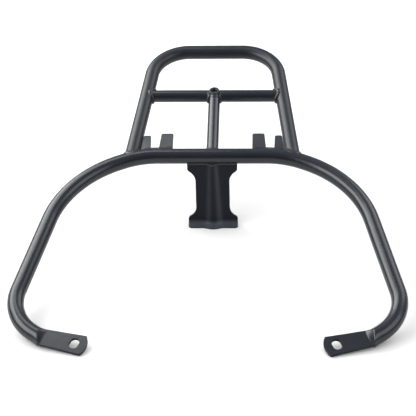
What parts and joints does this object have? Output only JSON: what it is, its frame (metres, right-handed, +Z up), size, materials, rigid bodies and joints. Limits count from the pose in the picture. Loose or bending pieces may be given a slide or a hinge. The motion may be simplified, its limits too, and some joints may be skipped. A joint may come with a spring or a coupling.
{
  "type": "rear luggage rack",
  "caption": "Tubular rear luggage rack for a scooter: a wide open hoop with flattened slotted feet, a raised carrier loop and a ribbed bracket below the crossbar.",
  "frame": {"origin": "middle of the rack's outline on the floor it stands on", "axes": "+X to the rack's right as seen from its open front, +Y to the rear where the carrier loop rises, +Z up"},
  "size_m": [0.4234, 0.4548, 0.1509],
  "materials": {
    "tube": "satin black powder coat",
    "pressed_plate": "satin black powder coat",
    "weld_bead": "satin black powder coat over weld",
    "bush": "satin black powder coat"
  },
  "bodies": {
    "root": {"hoop_tube": "tube", "carrier_loop": "tube", "cross_tube": "tube", "spine_tube": "tube", "threaded_bush": "bush", "left_fork": "pressed_plate", "right_fork": "pressed_plate", "bracket": "pressed_plate", "left_leg_weld": "weld_bead", "right_leg_weld": "weld_bead", "left_cross_weld": "weld_bead", "right_cross_weld": "weld_bead", "spine_front_weld": "weld_bead", "spine_rear_weld": "weld_bead", "left_fork_top_weld": "weld_bead", "right_fork_top_weld": "weld_bead", "left_fork_under_weld": "weld_bead", "right_fork_under_weld": "weld_bead", "bracket_front_weld": "weld_bead", "bracket_rear_weld": "weld_bead"}
  },
  "joints": []
}
